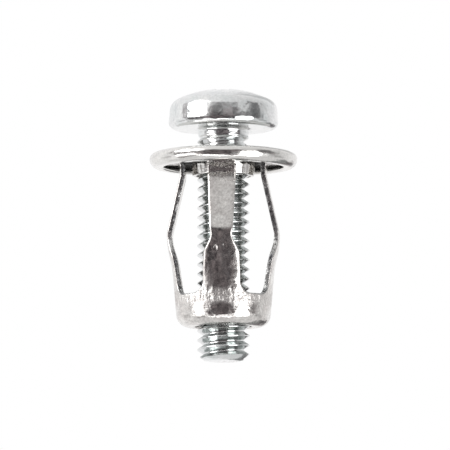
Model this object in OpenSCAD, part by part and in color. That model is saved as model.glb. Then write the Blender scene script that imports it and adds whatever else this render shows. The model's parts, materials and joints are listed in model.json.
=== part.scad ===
// Four-leg metal anchor for hollow walls, with its own M4 pan-head screw.
// Millimetres. +Z runs along the screw towards its head, and z = 0 is the face of the wall.
// Each leg is one strip of sheet that folds at three lines: behind the wall, at the elbow, at the cup.

/* [Screw] */
// Outside diameter of the screw thread
thread_d = 3.9; // [3.7:0.05:4.0]
// Distance from one thread crest to the next
thread_pitch = 0.7; // [0.6:0.05:0.8]
// Depth of the thread groove
thread_depth = 0.43; // [0.3:0.01:0.45]
// Length of the screw under its head
screw_length = 17.2; // [16:0.1:22]
// Largest diameter of the pan head
head_d = 8.1; // [7.6:0.02:8.4]
// Height of the pan head
head_h = 2.96; // [2.7:0.02:3.1]
// Width across the wings of the cross recess
recess_d = 4.4; // [3.8:0.1:4.6]
// Width of one slot of the cross recess
recess_slot = 0.95; // [0.8:0.05:1.2]
// Depth of the cross recess
recess_depth = 1.9; // [1.2:0.1:2.0]
// Free gap between the head and the flange, where the hung fixture goes
fixture_gap = 1.6; // [1:0.1:4]

/* [Flange] */
// Outside diameter of the flange
flange_d = 10.94; // [10.8:0.02:12]
// Height of the flange above the wall
flange_h = 1.3; // [1.26:0.01:1.4]
// Thickness of the flange sheet
flange_sheet = 0.4; // [0.36:0.01:0.42]
// Outside diameter of the collar around the screw hole
collar_d = 4.76; // [4.7:0.02:5]
// How far the collar reaches past the face of the wall
collar_drop = 0.6; // [0.2:0.05:0.7]
// Diameter of the hole that the screw passes through
screw_hole_d = 4.16; // [4.1:0.02:4.3]

/* [Legs] */
// Thickness of the cage sheet
cage_sheet = 0.38; // [0.34:0.01:0.4]
// Diameter over the four elbows
elbow_d = 8.3; // [8.2:0.05:8.6]
// Depth of the elbows behind the face of the wall
elbow_depth = 4.96; // [4.8:0.02:5.2]
// Depth of the upper fold line, which is the thickness of the wall
wall_t = 1.3; // [1.1:0.1:1.5]
// Lean of the flat upper strip away from the screw, in degrees
strip_lean = 12.4; // [12:0.1:13]
// Width of the strip at the flange
strip_w = 2.18; // [2:0.02:2.3]
// Width of the strip where the neck begins
neck_w = 1.78; // [1.7:0.02:1.9]
// Width of the waist just below the elbow
waist_w = 1.62; // [1.4:0.02:1.7]
// Width of the curved petal at its shoulder
petal_w = 2.74; // [2.5:0.02:2.8]
// Width of the curved petal at its foot
petal_foot_w = 2.88; // [2.8:0.02:3.1]
// Distance from the axis to the fold lines at the wall and at the cup
fold_r = 3.4; // [3.38:0.01:3.44]
// Largest fold of a leg away from its rest position, in degrees
leg_fold = 65.52; // [40:0.01:66]

/* [Cup] */
// Outside diameter of the cup at its rim
cup_d = 7.2; // [7.15:0.01:7.3]
// Height of the cup
cup_h = 2.27; // [2.2:0.01:2.4]
// Taper of the cup wall, in degrees
cup_taper = 4.8; // [4:0.1:5]
// Outside radius of the bottom corner
cup_corner_r = 0.95; // [0.8:0.05:1]
// Diameter of the hole in the cup floor
cup_hole_d = 4.2; // [4.1:0.05:4.3]
// Radius of the fillet between a petal and the rim
petal_fillet_r = 0.9; // [0.7:0.05:0.9]
// Width across the flats of the nut
nut_af = 5; // [4.9:0.05:5.1]
// Height of the nut
nut_h = 1.5; // [1.2:0.1:1.6]

/* [Hidden] */
$fn = 64;

// Turn of each leg about Z: a leg is drawn pointing along +X
FRONT = -90;
RIGHT = 0;
BACK = 90;
LEFT = 180;

// Clearances, and how far solids run into each other where they are joined or cut
seat_gap = 0.02;
joint_gap = 0.005;
thread_gap = 0.06;
overlap = 0.01;

// Screw
thread_r = thread_d / 2;
root_r = thread_r - thread_depth;
head_z = flange_h + fixture_gap;
head_top_z = head_z + head_h;
tip_z = head_z - screw_length;
neck_h = 0.5;
neck_r = 1.72;
neck_flare = 0.2;
tip_chamfer = 0.45;
tip_draft = 0.05;
crest_flat = 0.09;
root_flat = 0.03;
head_r = head_d / 2;
dome_r = 8;
dome_edge_r = 3.45;
shoulder_r = 0.95;
head_corner_r = 0.5;
head_side_taper = 10;
recess_floor_d = 2.2;

// Flange
flange_r = flange_d / 2;
curl_r = 0.6;
curl_top = 0.45;
curl_mid_z = 0.68;
dome_flat_r = 2.5;
rim_land_out_r = 4.95;
rim_land_in_r = 4.45;
rim_land_round = 0.05;
rim_lip_t = 0.3;
curl_inside_r = 0.28;
hole_round = 0.25;
collar_round = 0.08;

// Legs: outside radius of the flat strip and of the petal at a height z
elbow_z = -elbow_depth;
wall_z = -wall_t;
rim_z = -9.51;
cup_fold_z = 2 * elbow_z - wall_z;
shoulder_z = -7.5;
neck_z = -4.4;
waist_z = -5.3;
petal_full_z = -6.85;
strip_run = cage_sheet / cos(strip_lean);
function strip_out(z) = elbow_d / 2 + (elbow_z - z) * tan(strip_lean);
function wall_out(z) = cup_d / 2 + (z - rim_z) * tan(cup_taper);
function mix(a, b, t) = a + (b - a) * t;
function petal_out(z) = z < shoulder_z ? wall_out(z)
    : mix(wall_out(shoulder_z), elbow_d / 2, (z - shoulder_z) / (elbow_z - shoulder_z));
wall_run = cage_sheet / cos(cup_taper);
elbow_r = strip_out(elbow_z) - strip_run;

// Cup and nut
cup_floor_z = rim_z - cup_h;
corner_z = cup_floor_z + cup_corner_r;
corner_r = wall_out(corner_z) - cup_corner_r;
nut_z = cup_floor_z + cage_sheet + seat_gap;
nut_chamfer = 0.4;

// Foot of a leg: a bend and a flat tab that the curled rim grips
foot_bend_r = 0.25;
foot_top_z = 0.7;
foot_end_r = 4.74;
foot_bend_z = foot_top_z - cage_sheet - foot_bend_r;
foot_bend_x = strip_out(foot_bend_z - foot_bend_r * sin(strip_lean)) + foot_bend_r * cos(strip_lean);

// Points on an elliptical arc from angle a to angle b
function arc(cx, cz, rx, rz, a, b, n = 8) =
    [for (i = [0:n]) let (t = a + (b - a) * i / n) [cx + rx * cos(t), cz + rz * sin(t)]];
function ease(t) = t * t * (3 - 2 * t);

// Half the width of a leg at a height z, seen from outside
function leg_half(z) = 0.5 * (
    z > neck_z ? mix(neck_w, strip_w, (z - neck_z) / -neck_z)
    : z > waist_z ? mix(waist_w, neck_w, ease((z - waist_z) / (neck_z - waist_z)))
    : z > petal_full_z ? mix(petal_w, waist_w, ease((z - petal_full_z) / (waist_z - petal_full_z)))
    : mix(petal_foot_w, petal_w, max(0, (z - cup_fold_z) / (petal_full_z - cup_fold_z))));

// A prism of the outline of a leg between two heights, drawn along +X
module leg_prism(z_low, z_high, steps) {
    side = [for (i = [0:steps]) let (z = mix(z_low, z_high, i / steps)) [leg_half(z), z]];
    other = [for (i = [steps:-1:0]) [-side[i][0], side[i][1]]];
    rotate([90, 0, 90]) linear_extrude(elbow_d) polygon(concat(side, other));
}

// A plate whose side view is given as points of radius and height
module side_plate(points, width) {
    rotate([90, 0, 0]) linear_extrude(width, center = true) polygon(points);
}

// Half of the V-shaped crease at a fold line, opening outwards
module crease(z, up) {
    spare = 1;
    reach = 2;
    angle = up * (leg_fold / 2 + spare);
    side_plate([[fold_r, z], [fold_r + reach, z], [fold_r + reach, z + reach * tan(angle)]], elbow_d);
}

// Rings at the pitch of the thread, from the neck down to the chamfered tip
module threaded_shank() {
    first = head_z - neck_h;
    turns = floor((first - tip_z - tip_chamfer) / thread_pitch);
    rings = [for (i = [0:turns - 1]) let (z = first - i * thread_pitch)
        each [[root_r, z - root_flat],
              [thread_r, z - (thread_pitch - crest_flat) / 2],
              [thread_r, z - (thread_pitch + crest_flat) / 2]]];
    rotate_extrude() polygon(concat(
        [[0, head_z + neck_h],
         [neck_r + neck_flare, head_z + neck_h],
         [neck_r + neck_flare, head_z - neck_flare / 4],
         [neck_r, head_z - neck_flare]],
        rings,
        [[root_r, tip_z + tip_chamfer], [root_r - tip_draft, tip_z], [0, tip_z]]));
}

module pan_head() {
    edge_angle = 90 - asin(dome_edge_r / dome_r);
    edge_z = head_top_z - dome_r + dome_r * sin(edge_angle);
    shoulder_x = dome_edge_r - shoulder_r * cos(edge_angle);
    shoulder_z0 = edge_z - shoulder_r * sin(edge_angle);
    rotate_extrude() polygon(concat(
        arc(0, head_top_z - dome_r, dome_r, dome_r, 90, edge_angle, 6),
        arc(shoulder_x, shoulder_z0, shoulder_r, shoulder_r, edge_angle - 6, head_side_taper, 6),
        arc(head_r - head_corner_r, head_z + head_corner_r, head_corner_r, head_corner_r, 0, -90, 6),
        [[0, head_z]]));
}

module cross_recess() {
    cut_h = recess_depth + overlap;
    translate([0, 0, head_top_z - recess_depth]) intersection() {
        cylinder(d1 = recess_floor_d, d2 = recess_d, h = cut_h);
        union() {
            translate([-recess_d / 2, -recess_slot / 2, 0]) cube([recess_d, recess_slot, cut_h]);
            translate([-recess_slot / 2, -recess_d / 2, 0]) cube([recess_slot, recess_d, cut_h]);
        }
    }
}

module screw() {
    color("silver") difference() {
        union() {
            threaded_shank();
            pan_head();
        }
        cross_recess();
    }
}

// A domed washer with a curled rim, and a collar drawn down around the screw hole
module flange_cap() {
    hole_r = screw_hole_d / 2;
    curl_x = flange_r - curl_r;
    dome_drop = flange_h - curl_mid_z - curl_top;
    dome_run = curl_x - dome_flat_r;
    function dome_z(r) = flange_h - dome_drop * pow(max(0, r - dome_flat_r) / dome_run, 2);
    seam = 0.05;
    under_z = flange_h - flange_sheet;
    top = [for (i = [0:6]) let (r = mix(dome_flat_r, curl_x - seam, i / 6)) [r, dome_z(r)]];
    under = [for (i = [6:-1:1]) let (r = mix(dome_flat_r, curl_x - 2 * seam, i / 6))
        [r, dome_z(r) - flange_sheet]];
    land = [
        [rim_land_out_r - rim_land_round, 0],
        [rim_land_in_r, 0],
        [rim_land_in_r - rim_land_round, rim_lip_t / 2],
        [rim_land_in_r, rim_lip_t]];
    collar = [
        [collar_d / 2 + collar_round, under_z],
        [collar_d / 2, under_z - collar_round],
        [collar_d / 2, -collar_drop + collar_round],
        [collar_d / 2 - collar_round, -collar_drop],
        [hole_r, -collar_drop]];
    color("gainsboro") rotate_extrude() polygon(concat(
        [[hole_r, flange_h - hole_round]],
        arc(hole_r + hole_round, flange_h - hole_round, hole_round, hole_round, 150, 90, 3),
        top,
        arc(curl_x, curl_mid_z, curl_r, curl_top, 80, 0),
        arc(curl_x, curl_mid_z, curl_r, curl_mid_z, -10, -80, 6),
        land,
        arc(curl_x - collar_round, curl_mid_z, curl_inside_r, curl_mid_z - rim_lip_t, -90, 0, 4),
        under,
        collar));
}

// The end of a leg under the flange: a flat tab, a bend, and a stub through the wall
module leg_foot() {
    bend_from = 180 + strip_lean;
    outer_r = foot_bend_r + cage_sheet;
    color("darkgray") side_plate(concat(
        [[foot_end_r, foot_bend_z + foot_bend_r]],
        arc(foot_bend_x, foot_bend_z, foot_bend_r, foot_bend_r, 90, bend_from),
        [[strip_out(wall_z), wall_z + joint_gap], [strip_out(wall_z) - strip_run, wall_z + joint_gap]],
        arc(foot_bend_x, foot_bend_z, outer_r, outer_r, bend_from, 90),
        [[foot_end_r, foot_top_z]]), 2 * leg_half(wall_z));
}

// The flat strip from the wall to the elbow
module upper_leg() {
    z_high = wall_z - joint_gap;
    z_low = elbow_z + joint_gap;
    color("lightgray") intersection() {
        side_plate([
            [strip_out(z_high), z_high],
            [strip_out(z_low), z_low],
            [strip_out(z_low) - strip_run, z_low],
            [strip_out(z_high) - strip_run, z_high]], elbow_d);
        leg_prism(z_low - 1, z_high + 1, 24);
    }
}

// The sheet below the elbow, which is round about the axis of the screw
module petal_sheet(z_low, z_high) {
    heights = z_low < shoulder_z && z_high > shoulder_z ? [z_low, shoulder_z, z_high] : [z_low, z_high];
    rotate_extrude() polygon(concat(
        [for (z = heights) [petal_out(z), z]],
        [for (i = [len(heights) - 1:-1:0]) [petal_out(heights[i]) - wall_run, heights[i]]]));
}

// The curved petal from the elbow to the fold line at the cup
module lower_leg() {
    relief = 22.5;
    reach = elbow_depth;
    color("dimgray") difference() {
        intersection() {
            petal_sheet(cup_fold_z + joint_gap, elbow_z - joint_gap);
            leg_prism(cup_fold_z, elbow_z, 24);
        }
        crease(cup_fold_z, 1);
        side_plate([
            [elbow_r, elbow_z],
            [elbow_r - reach * tan(relief), elbow_z - reach],
            [0, elbow_z - reach],
            [0, elbow_z]], elbow_d);
    }
}

// Both roots that face each other across the cup, with fillets where they meet the rim
module petal_roots() {
    half = leg_half(cup_fold_z);
    fillet_r = petal_fillet_r;
    fillet = arc(half + fillet_r, rim_z + fillet_r, fillet_r, fillet_r, 180, 270);
    rotate([90, 0, 90]) linear_extrude(2 * elbow_d, center = true) polygon(concat(
        [[half, cup_fold_z]], fillet,
        [[half + fillet_r, rim_z - cage_sheet], [-half - fillet_r, rim_z - cage_sheet]],
        [for (i = [len(fillet) - 1:-1:0]) [-fillet[i][0], fillet[i][1]]],
        [[-half, cup_fold_z]]));
}

// One drawn shell up to the fold lines, trimmed above the rim to the four roots
module cup() {
    inner_corner = cup_corner_r - cage_sheet;
    top_z = cup_fold_z - joint_gap;
    color("lightsteelblue") difference() {
        intersection() {
            rotate_extrude() polygon(concat(
                [[wall_out(top_z), top_z]],
                arc(corner_r, corner_z, cup_corner_r, cup_corner_r, 0, -90),
                [[cup_hole_d / 2, cup_floor_z], [cup_hole_d / 2, cup_floor_z + cage_sheet]],
                arc(corner_r, corner_z, inner_corner, inner_corner, -90, 0),
                [[wall_out(top_z) - wall_run, top_z]]));
            union() {
                translate([0, 0, cup_floor_z - 1]) cylinder(r = cup_d, h = cup_h + 1);
                petal_roots();
                rotate(90) petal_roots();
            }
        }
        for (turn = [FRONT, RIGHT, BACK, LEFT]) rotate(turn) crease(cup_fold_z, -1);
    }
}

// A hexagonal nut that fills the cup, chamfered at both ends
module nut() {
    across_corners = nut_af / cos(30);
    flat_r = across_corners / 2 - nut_chamfer;
    edge_r = across_corners / 2 + seat_gap;
    color("gray") translate([0, 0, nut_z]) difference() {
        intersection() {
            rotate(30) cylinder(d = across_corners, h = nut_h, $fn = 6);
            rotate_extrude() polygon([
                [0, 0],
                [flat_r, 0],
                [edge_r, nut_chamfer],
                [edge_r, nut_h - nut_chamfer / 2],
                [flat_r, nut_h],
                [0, nut_h]]);
        }
        translate([0, 0, -1]) cylinder(r = thread_r + thread_gap, h = nut_h + 2);
    }
}

screw();
flange_cap();
cup();
nut();
rotate(FRONT) leg_foot();  // leg_foot_front
rotate(RIGHT) leg_foot();  // leg_foot_right
rotate(BACK) leg_foot();  // leg_foot_back
rotate(LEFT) leg_foot();  // leg_foot_left
rotate(FRONT) upper_leg();  // upper_leg_front
rotate(RIGHT) upper_leg();  // upper_leg_right
rotate(BACK) upper_leg();  // upper_leg_back
rotate(LEFT) upper_leg();  // upper_leg_left
rotate(FRONT) lower_leg();  // lower_leg_front
rotate(RIGHT) lower_leg();  // lower_leg_right
rotate(BACK) lower_leg();  // lower_leg_back
rotate(LEFT) lower_leg();  // lower_leg_left
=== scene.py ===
"""The looks of a four-leg hollow wall anchor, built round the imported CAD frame.

Lengths are millimetres. mesh_piece(), the materials, the lights and the camera turn them into metres.
Each leg is drawn pointing along +X and then turned about Z to its own side.
"""
import math

import bmesh
import bpy
from mathutils import Matrix, Vector, noise
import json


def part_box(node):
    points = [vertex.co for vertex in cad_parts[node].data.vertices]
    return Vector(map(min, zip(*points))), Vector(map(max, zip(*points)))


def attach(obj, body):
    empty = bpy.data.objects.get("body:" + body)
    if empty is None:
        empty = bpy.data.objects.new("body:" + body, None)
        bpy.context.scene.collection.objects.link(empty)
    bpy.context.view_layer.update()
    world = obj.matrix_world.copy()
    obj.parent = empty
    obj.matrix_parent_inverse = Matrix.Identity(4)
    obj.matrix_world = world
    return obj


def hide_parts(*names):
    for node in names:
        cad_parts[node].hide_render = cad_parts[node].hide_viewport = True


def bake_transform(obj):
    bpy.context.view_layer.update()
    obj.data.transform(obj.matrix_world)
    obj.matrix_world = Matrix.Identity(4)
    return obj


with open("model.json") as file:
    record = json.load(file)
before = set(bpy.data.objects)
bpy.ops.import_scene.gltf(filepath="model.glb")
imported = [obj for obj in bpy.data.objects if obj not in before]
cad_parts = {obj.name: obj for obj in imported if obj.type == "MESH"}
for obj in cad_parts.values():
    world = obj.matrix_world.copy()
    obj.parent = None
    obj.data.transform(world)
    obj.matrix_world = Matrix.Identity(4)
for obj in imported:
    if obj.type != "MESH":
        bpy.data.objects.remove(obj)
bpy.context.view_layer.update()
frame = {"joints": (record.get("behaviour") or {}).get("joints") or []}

MM = 0.001


# ---------------------------------------------------------------- sizes from the frame

def box_mm(node):
    low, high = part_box(node)
    return Vector(low) / MM, Vector(high) / MM


def joint_mm(name):
    joint = next(j for j in frame["joints"] if j["name"] == name)
    return Vector(joint["pos_m"]) / MM


SCREW_LOW, SCREW_HIGH = box_mm("screw")
FLANGE_LOW, FLANGE_HIGH = box_mm("flange_cap")
CUP_LOW = box_mm("cup")[0]
NUT_LOW, NUT_HIGH = box_mm("nut")
FOOT_HIGH = box_mm("leg_foot_right")[1]
WALL_FOLD = joint_mm("wall_fold_front")
CUP_FOLD = joint_mm("cup_fold_front")

LEG_TURN = {"front": -90, "right": 0, "back": 90, "left": 180}

# Screw
PITCH = 0.7
THREAD_R = 1.94
THREAD_DEPTH = 0.42
CREST_Z = -1.23
NECK_R = 1.86
HEAD_R = SCREW_HIGH.x - 0.004
HEAD_HEIGHT = 2.96
# The recess cuts away the very top of the dome
HEAD_TOP = SCREW_HIGH.z + 0.029
HEAD_Z = HEAD_TOP - HEAD_HEIGHT
TIP_Z = SCREW_LOW.z

# Flange
FLANGE_R = FLANGE_HIGH.x - 0.01
FLANGE_TOP = FLANGE_HIGH.z
FLANGE_FLAT_R = 2.6
FLANGE_CURL = 0.6
COLLAR_Z = FLANGE_LOW.z
COLLAR_R = 2.37
SCREW_HOLE_R = 2.09
FLANGE_SHEET = 0.38

# Cage. FLAT_R is the radius across a strip that counts as flat
SHEET = 0.375
FLAT_R = 400.0
FOLD_R = -WALL_FOLD.y
STRIP_LEAN = math.radians(12.4)
RIM_Z = -9.51
CUP_R = 3.6
CUP_TAPER = math.radians(4.8)
CUP_WALL = SHEET / math.cos(CUP_TAPER)
CUP_CORNER = 0.95
CUP_HOLE_R = 2.1
CUP_TURNED_Z = RIM_Z - 0.5
FILLET_R = 0.9
PETAL_SEAM_Z = -9.02
EDGE_ROLL = 0.17
EDGE_DROP = 0.08
EDGE_BURR = 0.04
ROLL_STEPS, BURR_STEPS = 5, 2


# ---------------------------------------------------------------- small helpers

def mix(a, b, t):
    return a + (b - a) * t


def ease(t):
    t = min(1.0, max(0.0, t))
    return t * t * (3 - 2 * t)


def arc(cx, cz, rx, rz, start, end, steps):
    """Points on an elliptical arc, angles in degrees, both ends included."""
    angles = [math.radians(mix(start, end, i / steps)) for i in range(steps + 1)]
    return [(cx + rx * math.cos(a), cz + rz * math.sin(a)) for a in angles]


def follow(table, z):
    """Value at height z in a table of (height, value) pairs, which runs from the top down."""
    if z >= table[0][0]:
        return table[0][1]
    for (z0, v0), (z1, v1) in zip(table, table[1:]):
        if z >= z1:
            return mix(v0, v1, (z - z0) / (z1 - z0))
    return table[-1][1]


def mesh_piece(name, points, faces, smooth_angle=38, turn=0):
    """A mesh object from points in millimetres, merged, with outward normals and soft shading."""
    mesh = bpy.data.meshes.new(name)
    rotation = Matrix.Rotation(math.radians(turn), 4, "Z")
    mesh.from_pydata([rotation @ (Vector(p) * MM) for p in points], [], [f[0] for f in faces])
    mesh.polygons.foreach_set("material_index", [f[1] for f in faces])
    work = bmesh.new()
    work.from_mesh(mesh)
    bmesh.ops.remove_doubles(work, verts=work.verts, dist=1e-7)
    bmesh.ops.recalc_face_normals(work, faces=work.faces)
    work.to_mesh(mesh)
    work.free()
    mesh.shade_smooth()
    mesh.set_sharp_from_angle(angle=math.radians(smooth_angle))
    piece = bpy.data.objects.new(name, mesh)
    bpy.context.scene.collection.objects.link(piece)
    return piece


def loft(rings, close_rings=False, slots=None):
    """Faces between closed rings of equal length. slots has a material index for each step round a ring."""
    count = len(rings[0])
    faces = []
    for i in range(len(rings) if close_rings else len(rings) - 1):
        a, b = i, (i + 1) % len(rings)
        for j in range(count):
            k = (j + 1) % count
            slot = slots[j] if slots else 0
            faces.append(((a * count + j, a * count + k, b * count + k, b * count + j), slot))
    return faces


def wavy(point, size, depth, seed):
    """A smooth random offset, used to stop drawn sheet from looking machined."""
    return depth * noise.noise(Vector(point) / size + Vector((seed, 2 * seed, 3 * seed)))


def lathe(name, profile, columns, dent, slots):
    """A closed outline of (radius, height) points turned about Z. dent changes the radius at a point."""
    rings = []
    for j in range(columns):
        angle = 2 * math.pi * j / columns
        ring = []
        for radius, z in profile:
            x, y = math.cos(angle), math.sin(angle)
            r = radius + dent(radius * x, radius * y, z)
            ring.append((r * x, r * y, z))
        rings.append(ring)
    points = [p for ring in rings for p in ring]
    return mesh_piece(name, points, loft(rings, close_rings=True, slots=slots))


# ---------------------------------------------------------------- materials

class Graph:
    """Short ways to add the few kinds of node that the materials and the studio use."""

    def __init__(self, owner):
        owner.use_nodes = True
        self.nodes, self.links = owner.node_tree.nodes, owner.node_tree.links
        self.place = self.nodes.new("ShaderNodeTexCoord")

    def join(self, socket, value):
        if isinstance(value, bpy.types.NodeSocket):
            self.links.new(value, socket)
        elif isinstance(value, tuple) and len(socket.default_value) == 4:
            socket.default_value = (*value, 1)
        else:
            socket.default_value = value

    def add(self, kind, output, inputs, **settings):
        """A new node with its settings and inputs, as the one output that is wanted."""
        node = self.nodes.new("ShaderNode" + kind)
        for name, value in settings.items():
            setattr(node, name, value)
        for name, value in inputs.items():
            self.join(node.inputs[name], value)
        return node.outputs[output]

    def math(self, operation, *values):
        return self.add("Math", "Value", dict(enumerate(values)), operation=operation)

    def noise(self, where, scale, detail, distortion=0.0, stretch=None):
        if stretch:
            where = self.add("Mapping", "Vector", {"Vector": where, "Scale": stretch})
        inputs = {"Vector": where, "Scale": scale, "Detail": detail, "Distortion": distortion}
        return self.add("TexNoise", "Fac", inputs)

    def spread(self, value, low, high):
        """The middle of a noise, stretched over a range."""
        inputs = {"Value": value, "From Min": 0.3, "From Max": 0.7, "To Min": low, "To Max": high}
        return self.add("MapRange", "Result", inputs)

    def step(self, value, low, high):
        """A smooth step from 0 at low to 1 at high."""
        inputs = {"Value": value, "From Min": low, "From Max": high}
        return self.add("MapRange", "Result", inputs, interpolation_type="SMOOTHSTEP")

    def window(self, value, low, low_full, high_full, high):
        """1 between low_full and high_full, and 0 outside low and high."""
        return self.math("MULTIPLY", self.step(value, low, low_full), self.step(value, high, high_full))

    def tones(self, factor, a, b, blend="MIX"):
        inputs = {"Factor": factor, "A": a, "B": b}
        return self.add("Mix", "Result", inputs, data_type="RGBA", blend_type=blend)

    def bump(self, height, distance, strength, normal=None):
        inputs = {"Height": height, "Distance": distance, "Strength": strength}
        if normal:
            inputs["Normal"] = normal
        return self.add("Bump", "Normal", inputs)


# How a noise is scaled along X, Y and Z
ALL_WAYS = (1, 1, 1)
ROUND_THE_AXIS = (0.22, 0.22, 1.5)
ALONG_THE_AXIS = (1, 1, 0.12)


# What all zinc shares: sizes of the speckle, the uneven gloss and the grain, the grain's depth, and
# the roughness that a rubbed band adds
SPECKLE, GLOSS_PATCH, GRAIN, GRAIN_DEPTH = 0.16, 0.35, 0.07, 0.004
RUBBED_ROUGHNESS = 0.2


def zinc(name, color, tint, roughness, cloud=1.6, mottle=0.14, grain=0.5, waves=(),
         clean=None, rubbed=None):
    """Bright zinc plate: a metal with cloudy tint, uneven gloss, fine crystal grain and shallow waves.

    cloud is the size of the tint's patches. Each wave is a size and a depth in millimetres, a scale along
    X, Y and Z, and the band of heights that it fades in and out of, or None for everywhere. clean is a
    band that has no tint, and rubbed a band that has lost its gloss.
    """
    material = bpy.data.materials.new(name)
    graph = Graph(material)
    shader = graph.nodes["Principled BSDF"]
    shader.inputs["Metallic"].default_value = 1.0
    place = graph.place.outputs["Object"]

    def noise_at(size, detail, distortion=0.0, stretch=None):
        return graph.noise(place, 1 / (size * MM), detail, distortion, stretch)

    up = graph.add("SeparateXYZ", "Z", {"Vector": place})

    def within(band):
        return graph.window(up, *[z * MM for z in band])

    cloudy = graph.spread(noise_at(cloud, 3, 0.6), 0, 1)
    if clean:
        cloudy = graph.math("MULTIPLY", cloudy, graph.math("SUBTRACT", 1.0, within(clean)))
    clouds = graph.tones(cloudy, color, tint)
    speckle = graph.spread(noise_at(SPECKLE, 3), 1 - mottle, 1)
    graph.join(shader.inputs["Base Color"], graph.tones(1, clouds, speckle, "MULTIPLY"))
    gloss = graph.spread(noise_at(GLOSS_PATCH, 4), roughness * 0.75, roughness * 1.35)
    if rubbed:
        gloss = graph.math("ADD", gloss, graph.math("MULTIPLY", within(rubbed), RUBBED_ROUGHNESS))
    graph.join(shader.inputs["Roughness"], gloss)

    height = 0.0
    for size, depth, stretch, band in waves:
        swell = graph.math("SUBTRACT", noise_at(size, 1, 0.3, stretch), 0.5)
        wave = graph.math("MULTIPLY", swell, depth)
        if band:
            wave = graph.math("MULTIPLY", wave, within(band))
        height = graph.math("ADD", height, wave)
    normal = graph.bump(height, MM, 1) if waves else None
    crystals = graph.bump(noise_at(GRAIN, 2), GRAIN_DEPTH * MM, grain, normal)
    graph.join(shader.inputs["Normal"], crystals)
    return material


def plain_stage(name, color, roughness):
    """A matte surface with a barely visible mottle, for the floor."""
    material = bpy.data.materials.new(name)
    graph = Graph(material)
    shader = graph.nodes["Principled BSDF"]
    shader.inputs["Roughness"].default_value = roughness
    mottle = graph.noise(graph.place.outputs["Object"], 4, 2)
    darker = tuple(0.985 * c for c in color)
    graph.join(shader.inputs["Base Color"], graph.tones(mottle, darker, color))
    return material


ZINC_SCREW = zinc("zinc_screw", (0.86, 0.86, 0.86), (0.78, 0.81, 0.81), 0.13,
                  waves=[(0.6, 0.035, ALL_WAYS, None)])
# Painted shade: a darker, duller zinc for the thread's up-facing flank below the neck
ZINC_THREAD_PAINTED_SHADE = zinc("zinc_thread_painted_shade", (0.62, 0.65, 0.64), (0.16, 0.19, 0.18), 0.24, cloud=0.5,
                   waves=[(0.4, 0.03, ALL_WAYS, None)])
ZINC_FLANGE = zinc("zinc_flange", (0.86, 0.85, 0.83), (0.78, 0.77, 0.75), 0.15,
                   waves=[(0.6, 0.02, ALL_WAYS, None), (0.34, 0.022, ROUND_THE_AXIS, None)])
ZINC_SHEET = zinc("zinc_sheet", (0.96, 0.945, 0.915), (0.71, 0.675, 0.655), 0.17,
                  cloud=1.2, mottle=0.32,
                  waves=[(0.5, 0.012, ALL_WAYS, None),
                         # the bend under the flange
                         (0.3, 0.05, ALL_WAYS, (-1.0, -0.7, 1, 2)),
                         # everything below the elbow, and then the cup
                         (0.62, 0.030, ALL_WAYS, (-12.5, -12.0, -5.2, -4.6)),
                         (0.42, 0.020, ALL_WAYS, (-12.5, -12.0, -10.0, -9.2)),
                         # draw marks at the root of the petals, and finer ones there
                         (0.28, 0.09, ALONG_THE_AXIS, (-10.3, -9.9, -9.4, -8.9)),
                         (0.22, 0.055, ALL_WAYS, (-10.4, -10.1, -9.5, -9.1)),
                         # turned marks low on the cup
                         (0.36, 0.03, ROUND_THE_AXIS, (-13.5, -12.6, -10.7, -10.2))],
                  rubbed=(-10.5, -10.1, -9.5, -9.0))
ZINC_EDGE = zinc("zinc_sheared_edge", (0.80, 0.80, 0.79), (0.09, 0.09, 0.10), 0.30,
                 cloud=0.42, mottle=0.45, grain=0.9,
                 waves=[(0.36, 0.08, ALL_WAYS, None)], clean=(-6.4, -5.9, -4.9, -4.6))
# Painted shade: a dark, dull zinc for the flange's hollow underside
ZINC_INSIDE_PAINTED_SHADE = zinc("zinc_inside_painted_shade", (0.40, 0.40, 0.39), (0.24, 0.24, 0.24), 0.45)
ZINC_NUT = zinc("zinc_nut", (0.68, 0.68, 0.68), (0.58, 0.60, 0.62), 0.28,
                waves=[(0.5, 0.02, ALL_WAYS, None)])


# What the low light on the left falls on: all but the screw
BELOW_HEAD = bpy.data.collections.new("below_head")
# What the fill on the left falls on: the legs and the cup
CAGE = bpy.data.collections.new("cage")


def finish_piece(piece, materials, body, slot, *nodes):
    """Gives a piece its materials and the body that it rides on, puts it in the light collections for its
    finish, and hides the CAD nodes that it stands for.
    """
    for material in materials:
        piece.data.materials.append(material)
    if body:
        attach(piece, body)
    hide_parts(*nodes)
    if slot != "zinc_screw":
        BELOW_HEAD.objects.link(piece)
    if slot == "zinc_cage":
        CAGE.objects.link(piece)
    return piece


# ---------------------------------------------------------------- screw

# Depth of the thread along one pitch: crest at 0, root at the half
THREAD_FORM = [(0.0, 0.0), (0.055, 0.03), (0.2275, 0.48), (0.40, 0.93), (0.45, 0.985),
               (0.5, 1.0), (0.55, 0.985), (0.60, 0.93), (0.7725, 0.48), (0.945, 0.03)]
# The steps of that form that take the darker zinc below the neck, painted shade on the flank that faces up
PAINTED_SHADE_STEPS = range(1, 4)
SCREW_COLUMNS = 96


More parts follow.
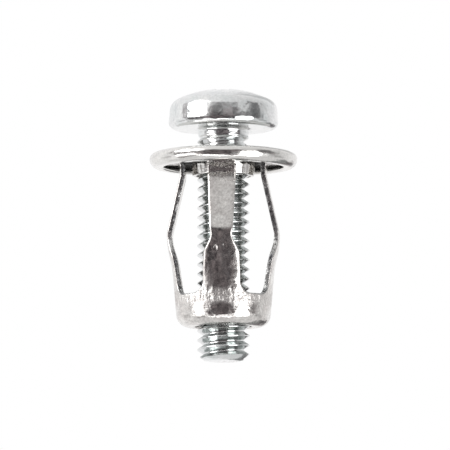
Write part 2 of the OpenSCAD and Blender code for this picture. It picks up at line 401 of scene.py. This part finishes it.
def thread_points():
    """Rings that climb with the helix, flattened at both ends, and the number of rings in one pitch."""
    top_z = HEAD_Z - 0.30
    thread_end, run_out = top_z - 0.2, 0.6 * PITCH
    tip_r, tip_round, tip_height = 1.15, 0.8, 0.55
    first_z = CREST_Z - PITCH * math.ceil((CREST_Z - TIP_Z) / PITCH + 1)
    form = len(THREAD_FORM)
    turns = math.ceil((top_z - first_z) / PITCH) + 1
    rings = []
    for i in range(turns * form + 1):
        share, depth = THREAD_FORM[i % form]
        ring = []
        for j in range(SCREW_COLUMNS):
            angle = 2 * math.pi * j / SCREW_COLUMNS
            z = first_z + PITCH * (i // form + share + j / SCREW_COLUMNS)
            r = mix(NECK_R, THREAD_R - THREAD_DEPTH * depth, ease((thread_end - z) / run_out))
            z = min(max(z, TIP_Z), top_z)
            r = min(r, tip_r + tip_round * math.sqrt((z - TIP_Z) / tip_height))
            if z == top_z:
                r = NECK_R
            ring.append((r * math.cos(angle), r * math.sin(angle), z))
        rings.append(ring)
    return rings, form


def head_profile():
    """From the neck out along the underside, round the side and over the dome."""
    fillet, corner = 0.26, 0.5
    edge_r, dome_r, shoulder = 3.45, 8.0, 0.95
    edge_angle = 90 - math.degrees(math.asin(edge_r / dome_r))
    dome_z = HEAD_TOP - dome_r
    shoulder_x = edge_r - shoulder * math.cos(math.radians(edge_angle))
    shoulder_z = dome_z + (dome_r - shoulder) * math.sin(math.radians(edge_angle))
    return (arc(NECK_R + fillet, HEAD_Z - fillet, fillet, fillet, 180, 90, 5)
            + [(radius, HEAD_Z) for radius in (2.6, 3.2)]
            + arc(HEAD_R - corner, HEAD_Z + corner, corner, corner, -90, 8, 10)
            + arc(shoulder_x, shoulder_z, shoulder, shoulder, 10, edge_angle, 10)
            + arc(0, dome_z, dome_r, dome_r, edge_angle + 3, 89.2, 12))


def cross_cutter():
    """The cross recess: four tapered wings, from its floor to a mouth just above the head.

    Each end is a height above the top of the head, the wings' reach from the axis, and half their width.
    """
    floor, mouth = (-1.9, 0.95, 0.36), (0.25, 2.35, 0.52)
    points = []
    for z, reach, half in (floor, mouth):
        for k in range(4):
            turn = Matrix.Rotation(k * math.pi / 2, 3, "Z")
            for x, y in ((half, -half), (reach, -half), (reach, half)):
                points.append(turn @ Vector((x, y, 0)) + Vector((0, 0, HEAD_TOP + z)))
    count = len(points) // 2
    faces = [(tuple(reversed(range(count))), 0), (tuple(range(count, 2 * count)), 0)]
    for j in range(count):
        k = (j + 1) % count
        faces.append(((j, k, count + k, count + j), 0))
    return mesh_piece("cross_cutter", points, faces)


def make_screw():
    """The thread and the head in one skin, with the cross recess cut out of it."""
    rings, form = thread_points()
    columns = SCREW_COLUMNS
    last_helix = len(rings) - 1
    # Outside even_r the head is very slightly uneven, and set in so that it stays inside its CAD solid
    even_r, inset = 2.3, 0.012
    for radius, z in head_profile():
        ring = []
        for j in range(columns):
            x, y = math.cos(2 * math.pi * j / columns), math.sin(2 * math.pi * j / columns)
            r = radius
            if radius > even_r:
                r -= inset + wavy((radius * x, radius * y, z), size=0.9, depth=0.02, seed=7.0)
            ring.append((r * x, r * y, z))
        rings.append(ring)
    points = [p for ring in rings for p in ring]
    faces = []
    for i in range(len(rings) - 1):
        # Below the neck the up-facing flank takes slot 1, the darker zinc of painted shade
        below_neck = rings[i][0][2] < FLANGE_TOP - PITCH
        slot = 1 if below_neck and i % form in PAINTED_SHADE_STEPS else 0
        a, b = i * columns, (i + 1) * columns
        for j in range(columns - 1):
            faces.append(((a + j, a + j + 1, b + j + 1, b + j), slot))
        # On the helix the last column meets the first one a pitch higher up
        near, far = i, i + 1
        if i < last_helix:
            near, far = min(i + form, last_helix), min(i + 1 + form, last_helix)
        faces.append(((a + columns - 1, near * columns, far * columns, b + columns - 1), slot))
    top = (len(rings) - 1) * columns
    points.append((0, 0, TIP_Z))
    points.append((0, 0, HEAD_TOP))
    for j in range(columns):
        k = (j + 1) % columns
        faces.append(((k, j, len(points) - 2), 0))
        faces.append(((top + j, top + k, len(points) - 1), 0))
    piece = mesh_piece("screw_body", points, faces, smooth_angle=32)
    for material in (ZINC_SCREW, ZINC_THREAD_PAINTED_SHADE):
        piece.data.materials.append(material)
    cutter = cross_cutter()
    cut = piece.modifiers.new("recess", "BOOLEAN")
    cut.operation = "DIFFERENCE"
    cut.solver = "EXACT"
    cut.object = cutter
    bpy.context.view_layer.update()
    carved = bpy.data.meshes.new_from_object(piece.evaluated_get(bpy.context.evaluated_depsgraph_get()))
    piece.modifiers.clear()
    piece.data = carved
    bpy.data.objects.remove(cutter)
    return finish_piece(piece, [], "screw", "zinc_screw", "screw")


# ---------------------------------------------------------------- flange

def dome_z(radius):
    """Height of the flange's top face."""
    edge_r, drop = FLANGE_R - FLANGE_CURL, 0.17
    return FLANGE_TOP - drop * (max(0.0, radius - FLANGE_FLAT_R) / (edge_r - FLANGE_FLAT_R)) ** 2


def make_flange():
    """The dish: over the dome, round the curled rim and its lip, and back inside to the collar."""
    mouth, root, end = 0.28, 0.16, 0.07
    curl_x, curl_z, curl_rise = FLANGE_R - FLANGE_CURL, 0.68, 0.45
    lip_x, lip_r, lip_z = 4.56, 0.13, 0.14
    hollow_x, hollow_z, hollow_r, hollow_rise = curl_x - 0.07, curl_z - 0.02, 0.27, 0.36
    collar_top = 0.3
    radii = [mix(FLANGE_FLAT_R, curl_x - 0.08, i / 8) for i in range(9)]
    root_z = dome_z(FLANGE_FLAT_R) - FLANGE_SHEET - root
    outside = (arc(SCREW_HOLE_R + mouth, FLANGE_TOP - mouth, mouth, mouth, 175, 95, 6)
               + [(r, dome_z(r)) for r in radii]
               + arc(curl_x, curl_z, FLANGE_CURL, curl_rise, 80, 0, 10)
               + arc(curl_x, curl_z, FLANGE_CURL, curl_z, -8, -82, 10)
               + [(r, 0.0) for r in (4.8, 4.62)]
               + arc(lip_x, lip_z, lip_r, lip_z, -80, -280, 8))
    inside = ([(lip_x + 0.14, 0.29)]
              + arc(hollow_x, hollow_z, hollow_r, hollow_rise, -75, 60, 10)
              + [(r, dome_z(r) - FLANGE_SHEET) for r in reversed(radii[1:-1])])
    collar = (arc(COLLAR_R + root, root_z, root, root, 90, 180, 4)
              + [(COLLAR_R, mix(collar_top, COLLAR_Z + 0.12, i / 6)) for i in range(7)]
              + arc(COLLAR_R - end, COLLAR_Z + end, end, end, 0, -90, 4)
              + [(SCREW_HOLE_R + 0.04, COLLAR_Z), (SCREW_HOLE_R, COLLAR_Z + 0.05), (SCREW_HOLE_R, 0.4)])
    # The inside of the dish takes slot 1, the dark zinc of painted shade in the hollow
    slots = [0] * len(outside) + [1] * len(inside) + [0] * len(collar)

    def dent(x, y, z):
        """The dish is slightly uneven. The collar is more so, and narrows towards its end."""
        radius = math.hypot(x, y)
        if radius > 2.8:
            return -0.008 + wavy((x, y, z), size=0.9, depth=0.016, seed=3.0)
        on_collar = ease((2.7 - radius) / 0.3) * ease((0.4 - z) / 0.3)
        taper = 0.10 * (z - collar_top)
        uneven = wavy((x, y, 0.3 * z), size=0.5, depth=0.07, seed=9.0)
        return -0.02 + (taper + uneven) * on_collar

    piece = lathe("flange_dish", outside + inside + collar, 144, dent, slots=slots)
    return finish_piece(piece, [ZINC_FLANGE, ZINC_INSIDE_PAINTED_SHADE], "flange", "zinc_flange", "flange_cap")


# ---------------------------------------------------------------- legs

# Outside radius of the leg below the elbow, from the top down
LEG_OUT = [(-4.86, 4.160), (-5.00, 4.170), (-5.15, 4.168), (-5.40, 4.151), (-5.80, 4.116),
           (-6.15, 4.066), (-6.50, 3.990), (-6.90, 3.895), (-7.30, 3.812), (-7.70, 3.757)]
LEG_JOINS_CUP_Z = -8.4
STUB_OUT = 3.24
STUB_Z = -0.62
# Where the leg's width changes
NECK_Z = -4.4
WAIST_Z = -5.3
SHOULDER_Z = -6.85
# Where the fine steps round the elbow end, and where the strip's mesh meets the petal's
BEND_END_Z = -6.2
PETAL_TOP_Z = -7.3


def wall_out(z):
    """Outside radius of the cup's wall."""
    return CUP_R + (z - RIM_Z) * math.tan(CUP_TAPER)


def strip_out(z):
    """Outside radius of the flat strip above the elbow."""
    return LEG_OUT[0][1] + (LEG_OUT[0][0] - z) * math.tan(STRIP_LEAN)


def half_width(z):
    """Half the width of a leg, seen from outside."""
    top, neck, waist, shoulder, root = 1.09, 0.895, 0.81, 1.37, 1.435
    if z > NECK_Z:
        return mix(neck, top, (z - NECK_Z) / -NECK_Z)
    if z > WAIST_Z:
        return mix(waist, neck, ease((z - WAIST_Z) / (NECK_Z - WAIST_Z)))
    if z > SHOULDER_Z:
        return mix(shoulder, waist, ease((z - SHOULDER_Z) / (WAIST_Z - SHOULDER_Z)))
    return mix(root, shoulder, ease((z - CUP_FOLD.z) / (SHOULDER_Z - CUP_FOLD.z)))


def fillet_half(z):
    """Half the width of a petal root where its fillet runs out into the rim."""
    centre_z = RIM_Z + FILLET_R
    if z >= centre_z:
        return half_width(z)
    drop = min(FILLET_R, centre_z - z)
    return half_width(centre_z) + FILLET_R - math.sqrt(FILLET_R ** 2 - drop ** 2)


def sheared_edge(thickness):
    """The sheet's edge as (distance in from the edge, depth) points: rolled outside, burred inside."""
    roll = [(EDGE_ROLL - EDGE_ROLL * math.sin(a), EDGE_DROP - EDGE_DROP * math.cos(a))
            for a in (math.pi / 2 * i / ROLL_STEPS for i in range(ROLL_STEPS + 1))]
    burr = [(EDGE_BURR - EDGE_BURR * math.cos(a), thickness - EDGE_BURR + EDGE_BURR * math.sin(a))
            for a in (math.pi / 2 * i / BURR_STEPS for i in range(BURR_STEPS + 1))]
    return roll + burr


def edge_section(half, across):
    """Cross-section of a strip as (sideways, depth) points round it, and the material of each step."""
    right = [(half - distance, depth) for distance, depth in sheared_edge(SHEET)]
    left = [(-side, depth) for side, depth in reversed(right)]
    flat, back = half - EDGE_ROLL, half - EDGE_BURR
    face = [(mix(-flat, flat, i / across), 0.0) for i in range(1, across)]
    under = [(mix(back, -back, i / across), SHEET) for i in range(1, across)]
    cut = [1] * (BURR_STEPS + 1)
    slots = [0] * (across - 1 + ROLL_STEPS) + cut + [0] * (across + 1) + cut + [0] * ROLL_STEPS
    return face + right + under + left, slots


def sheet_point(outer, inner, bend_r, side, depth):
    """A point of the bent sheet. outer and inner are (radius, height) at the middle of the strip.

    bend_r is the radius of its curve across the strip, side the distance from the middle along the
    outer face, and depth runs from 0 on the outer face to 1 on the inner face.
    """
    x, z = mix(outer[0], inner[0], depth), mix(outer[1], inner[1], depth)
    centre = outer[0] - bend_r
    angle = side / bend_r
    return (centre + (x - centre) * math.cos(angle), (x - centre) * math.sin(angle), z)


# Dents that the bending tool leaves below the elbow: sideways, height, half width, half height, depth
TOOL_MARKS = [(-0.43, -6.30, 0.20, 0.36, 0.085),
              (0.24, -6.12, 0.12, 0.26, 0.045),
              (0.30, -6.95, 0.10, 0.12, 0.03)]


def tool_mark(side, z):
    """Depth of the dents at a point of the outer face."""
    return sum(depth * ease(1 - math.hypot((side - middle) / half, (z - level) / tall))
               for middle, level, half, tall, depth in TOOL_MARKS)


def strip_mesh(name, stations, turn, across=22):
    """A strip swept through stations of (outer, inner, half width, bend radius), with closed ends."""
    rings, slots = [], None
    for outer, inner, half, bend_r in stations:
        section, slots = edge_section(half, across)
        ring = []
        for sideways, depth in section:
            if depth == 0:
                depth = tool_mark(sideways, outer[1])
            ring.append(sheet_point(outer, inner, bend_r, sideways, depth / SHEET))
        rings.append(ring)
    points = [p for ring in rings for p in ring]
    faces = loft(rings, slots=slots)
    count = len(rings[0])
    faces.append((tuple(range(count)), 0))
    faces.append((tuple(reversed(range((len(rings) - 1) * count, len(rings) * count))), 0))
    return mesh_piece(name, points, faces, smooth_angle=50, turn=turn)


def strip_normal():
    """Outward direction of the flat strip, as (radius, height)."""
    return Vector((math.cos(STRIP_LEAN), math.sin(STRIP_LEAN)))


def flat_station(z, half):
    """A station of the flat strip whose outer face is at height z."""
    outer = Vector((strip_out(z), z))
    return (outer, outer - SHEET * strip_normal(), half, leg_bend(z, strip_out(z)))


def leg_bend(z, radius):
    """Radius of the curve across a leg: nearly flat above the elbow and the cup's own at its foot."""
    strip, petal, root = 0.42, 0.80, 1.0
    petal_from, petal_over = -4.6, 1.6
    root_from, root_over = -7.6, 1.3
    curve = mix(strip, petal, ease((petal_from - z) / petal_over))
    return radius / (curve + (root - petal) * ease((root_from - z) / root_over))


def leg_station(z):
    """A station of the leg from the strip, through the elbow, to the round petal."""
    step = 0.06
    out = strip_out if z > LEG_OUT[0][0] else smooth_out
    outer = Vector((out(z), z))
    lean = Vector((out(z - step) - out(z + step), -2 * step))
    normal = Vector((-lean.y, lean.x)).normalized()
    # Towards the cup the thickness turns level, as it is in the cup's wall
    level_from, level_over = -5.6, 2.2
    level = ease((level_from - z) / level_over)
    normal = Vector((1.0 / max(0.9, normal.x), 0)) * level + normal * (1 - level)
    return (outer, outer - SHEET * normal, fillet_half(z), leg_bend(z, outer.x))


def smooth_out(z):
    """Outside radius of the leg at height z, averaged a little so that LEG_OUT's corners don't show."""
    table = LEG_OUT + [(LEG_JOINS_CUP_Z, wall_out(LEG_JOINS_CUP_Z))]

    def raw(height):
        if height > LEG_OUT[0][0]:
            return strip_out(height)
        if height > LEG_JOINS_CUP_Z:
            return follow(table, height)
        return wall_out(height)

    width, reach = 0.13, 3
    return sum(raw(z + width * i / reach) for i in range(-reach, reach + 1)) / (2 * reach + 1)


def run_down(start, end, steps):
    """Heights from start to end in even steps, without the first."""
    return [mix(start, end, i / steps) for i in range(1, steps + 1)]


def make_foot(side, turn):
    """The tab in the flange's curl, the bend, and the stub down to the upper fold."""
    bend_r, bend_steps = 0.25, 10
    tab_z = FOOT_HIGH.z - SHEET - 0.005
    centre = Vector((STUB_OUT + bend_r, tab_z - bend_r))
    half = half_width(0)
    curve = leg_bend(0, STUB_OUT)
    stations = []
    for x in (FOOT_HIGH.x - 0.01, FOOT_HIGH.x - 0.06, mix(FOOT_HIGH.x, centre.x, 0.5)):
        stations.append((Vector((x, tab_z)), Vector((x, tab_z + SHEET)), half, FLAT_R))
    near = arc(centre.x, centre.y, bend_r, bend_r, 90, 180, bend_steps)
    far = arc(centre.x, centre.y, bend_r + SHEET, bend_r + SHEET, 90, 180, bend_steps)
    for i, (a, b) in enumerate(zip(near, far)):
        stations.append((Vector(a), Vector(b), half, curve / max(curve / FLAT_R, i / bend_steps)))
    # The stub is upright at first, and leans like the strip below STUB_Z
    lean_over = 0.5
    for z in run_down(centre.y, WALL_FOLD.z, 14):
        outer, inner, half, curve = flat_station(z, half_width(z))
        pull = ease((STUB_Z + lean_over / 2 - z) / lean_over)
        upright = Vector((STUB_OUT, z))
        outer = upright + (outer - upright) * pull
        inner = upright - Vector((SHEET, 0)) + (inner - upright + Vector((SHEET, 0))) * pull
        stations.append((outer, inner, half, curve))
    piece = strip_mesh(f"leg_foot_{side}_sheet", stations, turn, across=6)
    return finish_piece(piece, [ZINC_SHEET, ZINC_EDGE], "flange", "zinc_cage", f"leg_foot_{side}")


def make_strip(side, turn):
    """The flat strip, the elbow and the top half of the petal.

    A rounded knuckle hides in the foot at rest, shaped to close the bend at the wall in a folded leg.
    """
    fold = Vector((FOLD_R, WALL_FOLD.z))
    top_outer, top_inner, half, curve = flat_station(WALL_FOLD.z, half_width(WALL_FOLD.z))
    knuckle_half, knuckle_shrink = half - 0.012, 0.985
    knuckle_from, knuckle_to, knuckle_steps = 66, 4, 7
    stations = []
    for i in range(knuckle_steps + 1):
        angle = math.radians(mix(knuckle_from, knuckle_to, i / knuckle_steps))
        swing = Matrix.Rotation(-angle, 2)
        stations.append((fold + swing @ (top_outer - fold),
                         fold + swing @ ((top_inner - fold) * knuckle_shrink),
                         knuckle_half, curve))
    stations.append((top_outer, top_inner, knuckle_half, curve))
    stations.append((top_outer, top_inner, half, curve))
    heights = run_down(WALL_FOLD.z, NECK_Z, 12) + run_down(NECK_Z, BEND_END_Z, 26)
    heights += run_down(BEND_END_Z, PETAL_TOP_Z, 16)
    stations += [leg_station(z) for z in heights]
    piece = strip_mesh(f"leg_{side}_strip", stations, turn)
    finish_piece(piece, [ZINC_SHEET, ZINC_EDGE], None, "zinc_cage", f"upper_leg_{side}")
    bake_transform(piece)
    return piece


def make_petal(side, turn):
    """The lower half of the petal."""
    heights = [PETAL_TOP_Z] + run_down(PETAL_TOP_Z, PETAL_SEAM_Z, 20)
    piece = strip_mesh(f"leg_{side}_petal", [leg_station(z) for z in heights], turn)
    finish_piece(piece, [ZINC_SHEET, ZINC_EDGE], None, "zinc_cage", f"lower_leg_{side}")
    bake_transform(piece)
    return piece


# ---------------------------------------------------------------- cup

# Steps up a column of the cup's wall
CUP_ROWS = 8


def cup_boundary():
    """Top edge of one quarter of the cup, from the middle of a petal to the middle of the gap.

    Each entry is (sideways angle, height, inward direction, True where the edge is a cut to the petal).
    """
    petal_steps, fillet_steps, gap_steps = 5, 12, 3
    radius = wall_out(PETAL_SEAM_Z)
    flat = fillet_half(PETAL_SEAM_Z) - EDGE_ROLL
    entries = [(mix(0, flat, i / petal_steps) / radius, PETAL_SEAM_Z, (0, -1), True)
               for i in range(petal_steps + 1)]
    centre_z = RIM_Z + FILLET_R
    start = math.degrees(math.asin((centre_z - PETAL_SEAM_Z) / FILLET_R))
    base = half_width(centre_z) + FILLET_R
    for i in range(fillet_steps + 1):
        a = math.radians(mix(start, 90, i / fillet_steps))
        sideways, z = base - FILLET_R * math.cos(a), centre_z - FILLET_R * math.sin(a)
        inward = (-math.cos(a), -math.sin(a)) if i else (-1, 0)
        entries.append((sideways / wall_out(z), z, inward, False))
    last = entries[-1][0]
    for i in range(1, gap_steps + 1):
        entries.append((mix(last, math.pi / 4, i / gap_steps), RIM_Z, (0, -1), False))
    return entries


def cup_column(angle, lower_angle, z, inward, cut):
    """Points of one column: up the outer wall, over the edge, and down the inner wall."""
    def point(a, height, depth):
        r = wall_out(height) - depth
        return (r * math.cos(a), r * math.sin(a), height)

    def inset(distance):
        return angle + inward[0] * distance / wall_out(z), z + inward[1] * distance

    def climb(distance, depth):
        a, height = inset(distance)
        steps = [i / CUP_ROWS for i in range(CUP_ROWS)]
        return [point(mix(lower_angle, a, t), mix(CUP_TURNED_Z, height, t), depth) for t in steps]

    corners = sheared_edge(CUP_WALL)
    if cut:
        last = len(corners) - 1
        corners = [(0, CUP_WALL * i / last) for i in range(last + 1)]
    over = [point(*inset(distance), depth) for distance, depth in corners]
    return climb(corners[0][0], 0) + over + climb(corners[-1][0], CUP_WALL)[::-1]


def cup_wall_profile():
    """The turned part of the cup below its wall: inner wall, floor, hole, bottom and outer wall."""
    corner_z = CUP_LOW.z + CUP_CORNER
    corner_x = wall_out(corner_z) - CUP_CORNER
    inner = CUP_CORNER - SHEET
    lip = 0.07
    middle_z = mix(CUP_TURNED_Z, corner_z, 0.5)
    return ([(wall_out(z) - CUP_WALL, z) for z in (middle_z, corner_z)]
            + arc(corner_x, corner_z, inner, inner, 0, -90, 8)
            + [(CUP_HOLE_R + lip, CUP_LOW.z + SHEET), (CUP_HOLE_R, CUP_LOW.z + SHEET - lip)]
            + arc(CUP_HOLE_R + lip, CUP_LOW.z + lip, lip, lip, 180, 270, 3)
            + [(mix(CUP_HOLE_R + lip, corner_x, 0.5), CUP_LOW.z)]
            + arc(corner_x, corner_z, CUP_CORNER, CUP_CORNER, -90, 0, 14)
            + [(wall_out(middle_z), middle_z)])


def make_cup():
    """The cup: columns that follow the petals and the rim, on a turned base."""
    quarter = cup_boundary()
    mirrored = [(-angle, z, (-inward[0], inward[1]), cut)
                for angle, z, inward, cut in reversed(quarter[1:])]
    half_leg = mirrored + quarter[:-1]
    count = len(half_leg)
    profile = cup_wall_profile()
    # How far the columns even out on their way down
    even = 0.6
    loops = []
    for turn in LEG_TURN.values():
        rotation = Matrix.Rotation(math.radians(turn), 3, "Z")
        for i, (angle, z, inward, cut) in enumerate(half_leg):
            lower = mix(angle, mix(-math.pi / 4, math.pi / 4, i / count), even)
            loop = cup_column(angle, lower, z, inward, cut)
            loop += [(r * math.cos(lower), r * math.sin(lower), height) for r, height in profile]
            shaped = []
            for p in loop:
                p = rotation @ Vector(p)
                below = ease((RIM_Z - 0.1 - p.z) / 0.6)
                uneven = wavy(p, size=1.2, depth=0.012, seed=5.0)
                p += Vector((p.x, p.y, 0)).normalized() * below * uneven
                shaped.append(p)
            loops.append(shaped)
    points = [p for loop in loops for p in loop]
    # The dull edge leaves out the first two steps of the roll
    # The dark edge zinc covers the cut and the burr, and the roll too except its first two steps; on the
    # roll it is painted shade, a dark line along the rim
    edge_and_shade_from, edge_and_shade_to = CUP_ROWS + 2, CUP_ROWS + ROLL_STEPS + BURR_STEPS + 1
    slots = [1 if edge_and_shade_from <= j < edge_and_shade_to else 0 for j in range(len(loops[0]))]
    piece = mesh_piece("cup_shell", points, loft(loops, close_rings=True, slots=slots), smooth_angle=50)
    return finish_piece(piece, [ZINC_SHEET, ZINC_EDGE], "nut_cup", "zinc_cage", "cup")


def make_nut():
    """A hexagon nut: a turned outline whose radius is cut down to the six flats."""
    apothem = min(NUT_HIGH.x, NUT_HIGH.y) - 0.01
    corner = apothem / math.cos(math.pi / 6)
    low, high = NUT_LOW.z + 0.005, NUT_HIGH.z - 0.005
    middle = mix(low, high, 0.5)
    turned = NUT_HIGH.y > NUT_HIGH.x
    bore, sink, chamfer = 2.0, 0.2, 0.42
    profile = [(bore, low + 0.25), (bore + sink, low),
               (corner - chamfer, low), (corner - 0.2, low + 0.22), (corner, low + chamfer),
               (corner, middle), (corner, high - 0.2), (corner - 0.2, high - 0.1), (corner - chamfer, high),
               (bore + sink, high), (bore, high - 0.25), (bore, middle)]
    columns = 96
    rings = []
    for j in range(columns):
        angle = 2 * math.pi * j / columns
        shifted = (angle + (math.pi / 6 if turned else 0)) % (math.pi / 3) - math.pi / 6
        limit = apothem / math.cos(shifted)
        cut_down = [(min(r, limit), z) for r, z in profile]
        rings.append([(r * math.cos(angle), r * math.sin(angle), z) for r, z in cut_down])
    points = [p for ring in rings for p in ring]
    piece = mesh_piece("nut_body", points, loft(rings, close_rings=True), smooth_angle=25)
    return finish_piece(piece, [ZINC_NUT], "nut_cup", "zinc_nut", "nut")


# ---------------------------------------------------------------- studio

VIEW_SIDE = math.radians(2.4)


def make_studio():
    """A pale tent with an opening on each side, the widest one in front, and soft boxes between them.

    The tent is only seen in reflections. Looked at directly, the surroundings are plain white.
    """
    world = bpy.data.worlds.new("studio")
    bpy.context.scene.world = world
    graph = Graph(world)
    place = graph.place.outputs["Generated"]
    x, y, z = (graph.add("SeparateXYZ", axis, {"Vector": place}) for axis in "XYZ")
    turned = graph.math("ARCTAN2", x, graph.math("MULTIPLY", y, -1))
    around = graph.math("DEGREES", graph.math("SUBTRACT", turned, VIEW_SIDE))
    height = graph.math("DEGREES", graph.math("ARCSINE", z))

    def patches(rows):
        """The strongest of some soft-edged patches.

        Each is a strength, and where it starts, is full, stops being full and ends, in degrees: first
        round the anchor, positive to the right of the camera's side, and then in height.
        """
        total = 0.0
        for strength, side, level in rows:
            shape = graph.math("MULTIPLY", graph.window(around, *side), graph.window(height, *level))
            total = graph.math("MAXIMUM", total, graph.math("MULTIPLY", shape, strength))
        return total

    openings = patches([
        (1.0, (-40, -30, 28, 38), (-47, -42, 10, 42)),  # in front
        (0.85, (-98, -88, -34, -26), (-56, -50, -40, -32)),  # left, low
        (0.75, (-100, -93, -85, -80), (-5, 8, 25, 50)),  # left, narrow and high
        (0.85, (14, 22, 76, 100), (-14, -9, 15, 22)),  # right, level
        (0.72, (54, 62, 82, 92), (0, 8, 32, 44)),  # right, high
        (0.97, (-90, -82, -34, -26), (-32, -27, 1, 4)),  # left, a little below level
        (0.85, (140, 150, 210, 220), (-31, -27, -15, -11)),  # behind on the right
        (0.35, (78, 86, 110, 120), (-29, -25, -15, -11)),  # far right, faint
        (0.4, (-120, -112, -98, -92), (-29, -25, -15, -11)),  # far left, faint
        (0.95, (-60, -48, 48, 60), (-76, -72, -58, -55))])  # in front, near the floor
    shade = patches([
        (0.40, (138, 150, 170, 178), (14, 22, 44, 60)),  # behind on the right, high
        (0.80, (116, 130, 168, 176), (-62, -50, -26, -20))])  # behind on the right, low
    clutter = graph.noise(place, 6, 4)
    busy = graph.step(clutter, 0.42, 0.64)
    room = graph.tones(busy, (0.022, 0.02, 0.024), (0.27, 0.235, 0.238))
    pale = graph.tones(busy, (1.08, 1.07, 1.06), (0.92, 0.92, 0.93))
    dull = graph.tones(busy, (0.66, 0.66, 0.66), (0.80, 0.79, 0.79))
    rear = graph.tones(busy, (1.02, 1.01, 1.01), (0.88, 0.88, 0.89))
    tent = graph.tones(graph.step(y, 0.1, 0.9), graph.tones(graph.step(x, -1, 1), pale, dull), rear)
    tent = graph.tones(shade, tent, (0.10, 0.11, 0.11))
    seen_in_metal = graph.tones(openings, tent, room)
    direct = graph.add("LightPath", "Is Camera Ray", {})
    white = (1.0, 1.0, 1.0)
    graph.join(graph.nodes["Background"].inputs["Color"], graph.tones(direct, seen_in_metal, white))

    soft_box("soft_box_left", -61, 27, (300, 340), 1.0)
    soft_box("soft_box_left_low", -60, -21, (310, 150), 0.22, BELOW_HEAD)
    soft_box("fill_left", -58, -3, (330, 110), 0.14, CAGE)
    soft_box("soft_box_right", 49, -19, (300, 430), 0.92)
    soft_box("soft_box_floor", 0, -50, (600, 55), 0.24)

    reach, depth = 1000, -1100
    corners = [(reach * x, reach * y, depth) for x, y in ((-1, -1), (1, -1), (1, 1), (-1, 1))]
    floor = mesh_piece("floor", corners, [((0, 1, 2, 3), 0)])
    floor.data.materials.append(plain_stage("pale_floor", (0.9, 0.9, 0.9), 0.8))


def toward(side, height):
    """Unit vector for an angle from the front, positive to the right, and a height angle, in degrees."""
    a, e = math.radians(side), math.radians(height)
    return Vector((math.cos(e) * math.sin(a), -math.cos(e) * math.cos(a), math.sin(e)))


def soft_box(name, side, height, size, power, falls_on=None):
    """A soft elliptical light that faces the anchor. size is in millimetres, power in watts.

    falls_on is a collection of the only pieces that it lights, or None for all.
    """
    target, distance = Vector((0, 0, -5)), 400
    data = bpy.data.lights.new(name, "AREA")
    data.shape = "ELLIPSE"
    data.size, data.size_y = size[0] * MM, size[1] * MM
    data.energy = power
    light = bpy.data.objects.new(name, data)
    light.location = (target + distance * toward(side, height)) * MM
    light.rotation_euler = (-toward(side, height)).to_track_quat("-Z", "Y").to_euler()
    light.visible_camera = False
    if falls_on:
        light.light_linking.receiver_collection = falls_on
    bpy.context.scene.collection.objects.link(light)


def make_camera():
    """A long lens slightly below the anchor, with the whole anchor in a square frame."""
    distance, elevation, field = 400, -6.2, 33.2
    target = Vector((0.11, 0, -4.22))
    data = bpy.data.cameras.new("camera")
    data.sensor_width = 36
    data.lens = data.sensor_width * distance / field
    data.clip_start, data.clip_end = 0.01, 20
    camera = bpy.data.objects.new("camera", data)
    back = toward(math.degrees(VIEW_SIDE), elevation)
    camera.location = (target + distance * back) * MM
    camera.rotation_euler = (-back).to_track_quat("-Z", "Y").to_euler()
    bpy.context.scene.collection.objects.link(camera)
    bpy.context.scene.camera = camera


make_camera()
make_studio()
make_screw()
make_flange()
make_cup()
make_nut()
for leg_side, leg_turn in LEG_TURN.items():
    make_foot(leg_side, leg_turn)
    make_strip(leg_side, leg_turn)
    make_petal(leg_side, leg_turn)

bpy.context.scene.view_settings.view_transform = "Standard"
